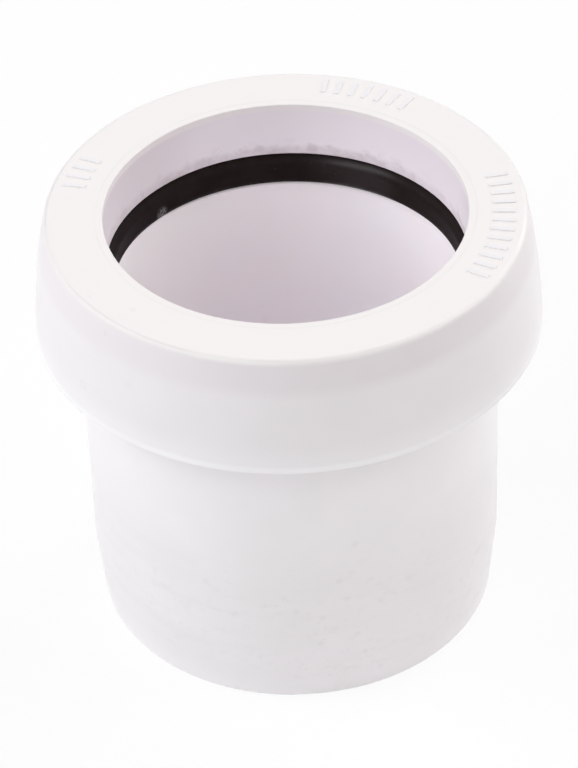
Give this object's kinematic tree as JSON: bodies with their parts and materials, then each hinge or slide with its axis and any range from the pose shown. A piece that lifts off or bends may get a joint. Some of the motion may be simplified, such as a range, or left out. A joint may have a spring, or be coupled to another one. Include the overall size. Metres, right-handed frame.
{
  "type": "waste reducing connector",
  "caption": "Push-fit plumbing reducer: plain round spigot below, flared cap above, and a rubber-sealed socket inside for a smaller waste pipe.",
  "frame": {"origin": "centre of the spigot's end face, on the fitting's axis", "axes": "+Z along the axis, from the spigot's end up to the socket's mouth"},
  "size_m": [0.0496, 0.0496, 0.0454],
  "materials": {
    "white_plastic": "satin moulded polypropylene",
    "black_rubber": "matte"
  },
  "bodies": {
    "root": {"spigot_body": "white_plastic", "seal_ring": "black_rubber", "retaining_cap": "white_plastic"}
  },
  "joints": []
}
